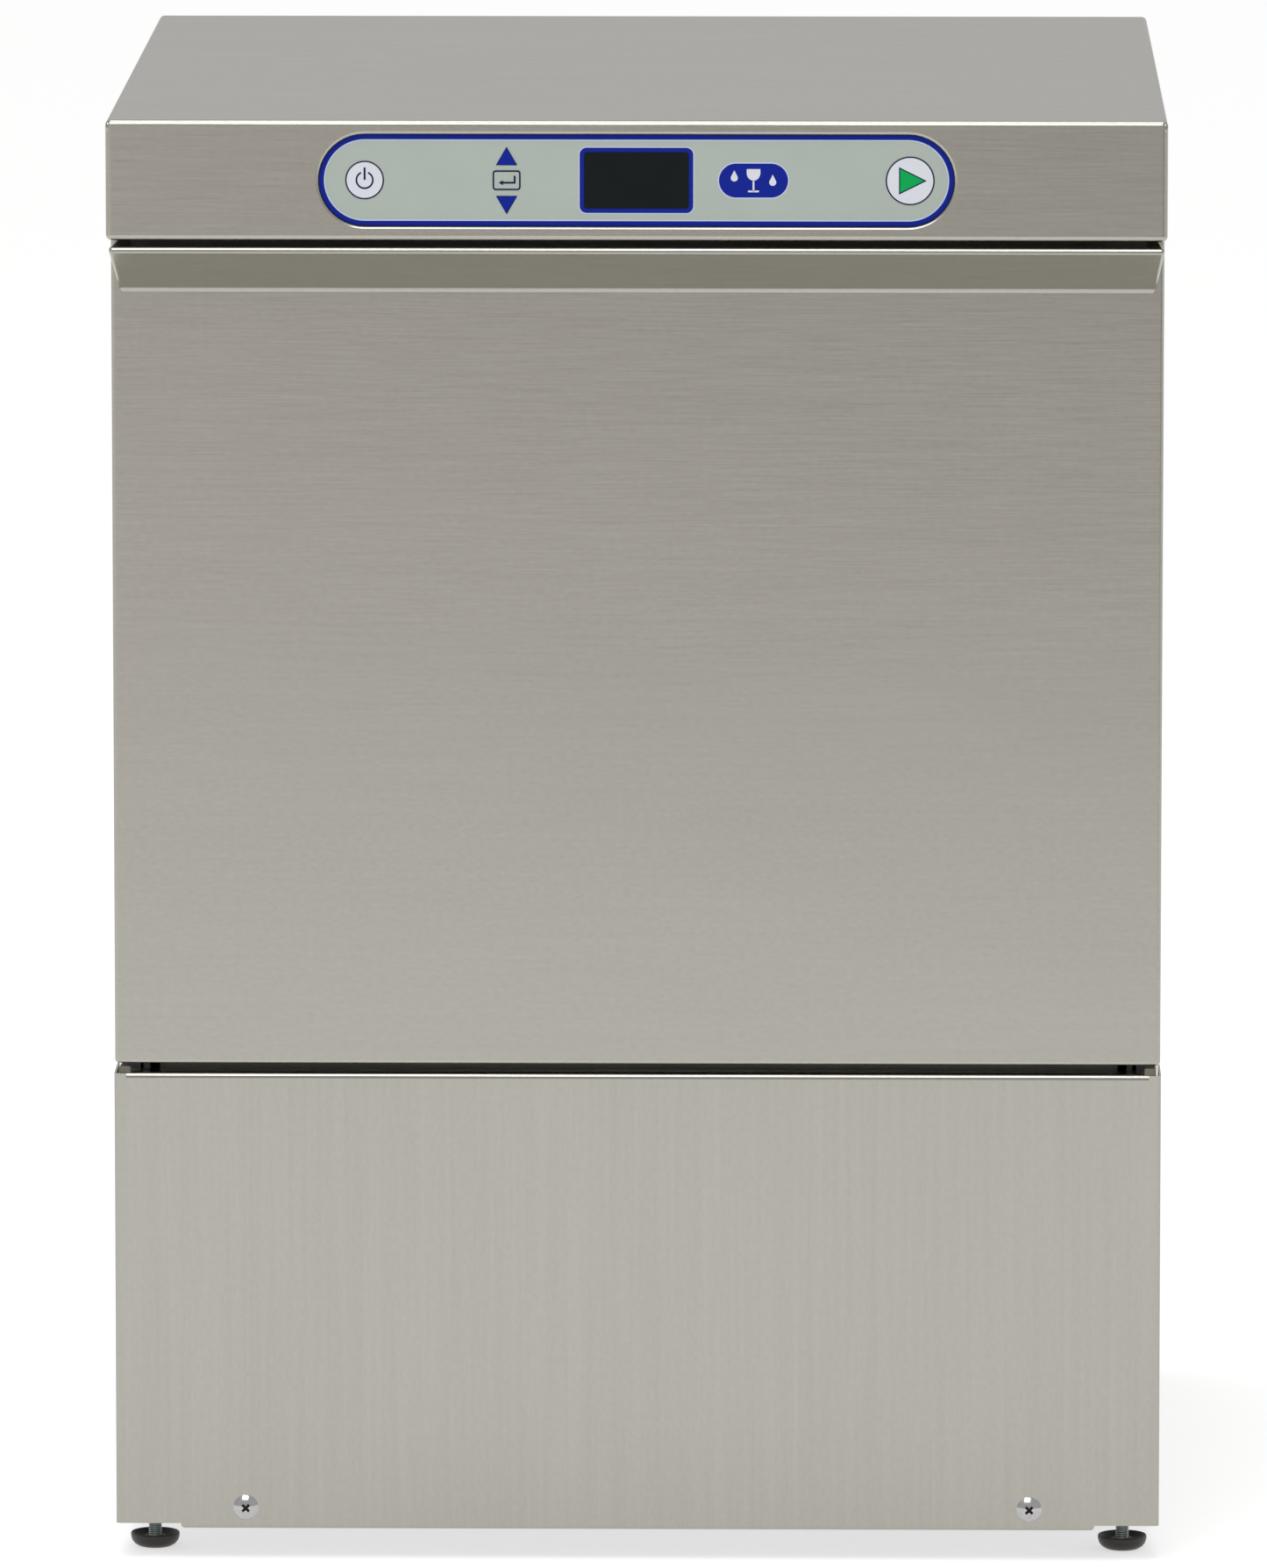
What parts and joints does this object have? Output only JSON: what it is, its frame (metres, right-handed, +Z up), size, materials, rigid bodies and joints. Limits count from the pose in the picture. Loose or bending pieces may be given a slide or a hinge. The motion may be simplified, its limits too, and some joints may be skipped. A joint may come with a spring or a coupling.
{
  "type": "glass washer machine",
  "caption": "Under-counter stainless glass washer with a drop-down door, full-width handle lip, top control panel, spray arms, pumps and adjustable feet.",
  "frame": {"origin": "on the floor, under the middle of the whole bounding box", "axes": "+X to the right of someone facing the door, +Y to the back, +Z up; the door faces -Y"},
  "size_m": [0.608, 0.681, 0.846],
  "materials": {
    "steel_horizontal_grain": "satin, fine grain along X",
    "steel_vertical_grain": "satin, fine grain along Z",
    "inner_steel": "bright cold-rolled",
    "galvanised_steel": "galvanised",
    "bright_steel": "polished",
    "cast_aluminium": "as cast",
    "black_rubber": "matt",
    "black_plastic": "moulded",
    "foot_plastic": "moulded",
    "grey_plastic": "moulded",
    "white_plastic": "moulded",
    "clear_tube": "translucent silicone",
    "circuit_board": "coated board",
    "panel_film": "printed polyester film",
    "key_film": "printed polyester film",
    "display_glass": "dark tinted window"
  },
  "bodies": {
    "cabinet": {"base_frame": "galvanised_steel", "booster_tank": "inner_steel", "casing_screws": "bright_steel", "control_board": "circuit_board", "control_box": "black_plastic", "control_box_cover": "black_plastic", "display_module": "circuit_board", "display_window": "display_glass", "door_gasket": "black_rubber", "door_springs": "bright_steel", "dosing_bracket": "galvanised_steel", "dosing_housings": "black_plastic", "dosing_tubes": "clear_tube", "drain_hose": "black_rubber", "drain_pump": "white_plastic", "fill_valve": "white_plastic", "front_frame": "inner_steel", "hinge_brackets": "galvanised_steel", "hinge_bushes": "white_plastic", "keypad_backplate": "black_plastic", "keypad_overlay": "panel_film", "kick_panel": "steel_vertical_grain", "lid": "steel_horizontal_grain", "lower_spindle": "grey_plastic", "rack_rails": "inner_steel", "rear_panel": "galvanised_steel", "rinse_pipe": "inner_steel", "side_panel_left": "steel_vertical_grain", "side_panel_right": "steel_vertical_grain", "strainer_basket": "grey_plastic", "strainer_plate": "inner_steel", "suction_hose": "black_rubber", "tank_heater": "bright_steel", "upper_spindle": "grey_plastic", "wash_pipes": "grey_plastic", "wash_pump_casing": "black_plastic", "wash_pump_motor": "cast_aluminium", "wash_tank": "inner_steel"},
    "door": {"door_outer_panel": "steel_horizontal_grain", "door_inner_panel": "inner_steel", "door_screws": "bright_steel", "hinge_levers": "galvanised_steel", "hinge_pins": "bright_steel"},
    "power_key": {"power_key": "key_film"},
    "up_key": {"up_key": "panel_film"},
    "enter_key": {"enter_key": "panel_film"},
    "down_key": {"down_key": "panel_film"},
    "start_key": {"start_key": "key_film"},
    "lower_wash_arm": {"lower_wash_arm": "grey_plastic"},
    "upper_wash_arm": {"upper_wash_arm": "grey_plastic"},
    "lower_rinse_arm": {"lower_rinse_arm": "inner_steel"},
    "upper_rinse_arm": {"upper_rinse_arm": "inner_steel"},
    "wash_pump_rotor": {"wash_pump_rotor": "bright_steel"},
    "drain_pump_impeller": {"drain_pump_impeller": "black_plastic"},
    "dosing_rotor_left": {"dosing_rotor_left": "white_plastic"},
    "dosing_rotor_right": {"dosing_rotor_right": "white_plastic"},
    "foot_front_left": {"foot_front_left": "foot_plastic"},
    "foot_front_right": {"foot_front_right": "foot_plastic"},
    "foot_rear_left": {"foot_rear_left": "foot_plastic"},
    "foot_rear_right": {"foot_rear_right": "foot_plastic"}
  },
  "joints": [
    {"name": "door_hinge", "type": "hinge", "parent": "cabinet", "child": "door", "pos_m": [0, -0.2905, 0.3064], "axis": [1, 0, 0], "range_deg": [0, 90], "stiffness_Nm_per_rad": 7, "springref_deg": -11.46, "deforming": ["door_springs"]},
    {"name": "power_key_press", "type": "slide", "parent": "cabinet", "child": "power_key", "axis": [0, 1, 0], "range_m": [0, 0.0005], "stiffness_N_per_m": 1500, "springref_m": -0.0005},
    {"name": "up_key_press", "type": "slide", "parent": "cabinet", "child": "up_key", "axis": [0, 1, 0], "range_m": [0, 0.0005], "stiffness_N_per_m": 1500, "springref_m": -0.0005},
    {"name": "enter_key_press", "type": "slide", "parent": "cabinet", "child": "enter_key", "axis": [0, 1, 0], "range_m": [0, 0.0005], "stiffness_N_per_m": 1500, "springref_m": -0.0005},
    {"name": "down_key_press", "type": "slide", "parent": "cabinet", "child": "down_key", "axis": [0, 1, 0], "range_m": [0, 0.0005], "stiffness_N_per_m": 1500, "springref_m": -0.0005},
    {"name": "start_key_press", "type": "slide", "parent": "cabinet", "child": "start_key", "axis": [0, 1, 0], "range_m": [0, 0.0005], "stiffness_N_per_m": 1500, "springref_m": -0.0005},
    {"name": "lower_wash_arm_spin", "type": "hinge", "parent": "cabinet", "child": "lower_wash_arm", "pos_m": [0, 0.005, 0.34], "axis": [0, 0, 1], "continuous": true},
    {"name": "upper_wash_arm_spin", "type": "hinge", "parent": "cabinet", "child": "upper_wash_arm", "pos_m": [0, 0.005, 0.34], "axis": [0, 0, 1], "continuous": true},
    {"name": "lower_rinse_arm_spin", "type": "hinge", "parent": "cabinet", "child": "lower_rinse_arm", "pos_m": [0, 0.005, 0.34], "axis": [0, 0, 1], "continuous": true},
    {"name": "upper_rinse_arm_spin", "type": "hinge", "parent": "cabinet", "child": "upper_rinse_arm", "pos_m": [0, 0.005, 0.34], "axis": [0, 0, 1], "continuous": true},
    {"name": "wash_pump_spin", "type": "hinge", "parent": "cabinet", "child": "wash_pump_rotor", "pos_m": [-0.19, 0.14, 0.112], "axis": [1, 0, 0], "continuous": true},
    {"name": "drain_pump_spin", "type": "hinge", "parent": "cabinet", "child": "drain_pump_impeller", "pos_m": [-0.19, 0.25, 0.092], "axis": [0, 1, 0], "continuous": true},
    {"name": "dosing_left_spin", "type": "hinge", "parent": "cabinet", "child": "dosing_rotor_left", "pos_m": [-0.2, -0.25, 0.15], "axis": [0, 1, 0], "continuous": true},
    {"name": "dosing_right_spin", "type": "hinge", "parent": "cabinet", "child": "dosing_rotor_right", "pos_m": [-0.13, -0.25, 0.15], "axis": [0, 1, 0], "continuous": true},
    {"name": "foot_front_left_height", "type": "slide", "parent": "cabinet", "child": "foot_front_left", "axis": [0, 0, -1], "range_m": [-0.008, 0.03]},
    {"name": "foot_front_right_height", "type": "slide", "parent": "cabinet", "child": "foot_front_right", "axis": [0, 0, -1], "range_m": [-0.008, 0.03]},
    {"name": "foot_rear_left_height", "type": "slide", "parent": "cabinet", "child": "foot_rear_left", "axis": [0, 0, -1], "range_m": [-0.008, 0.03]},
    {"name": "foot_rear_right_height", "type": "slide", "parent": "cabinet", "child": "foot_rear_right", "axis": [0, 0, -1], "range_m": [-0.008, 0.03]}
  ]
}
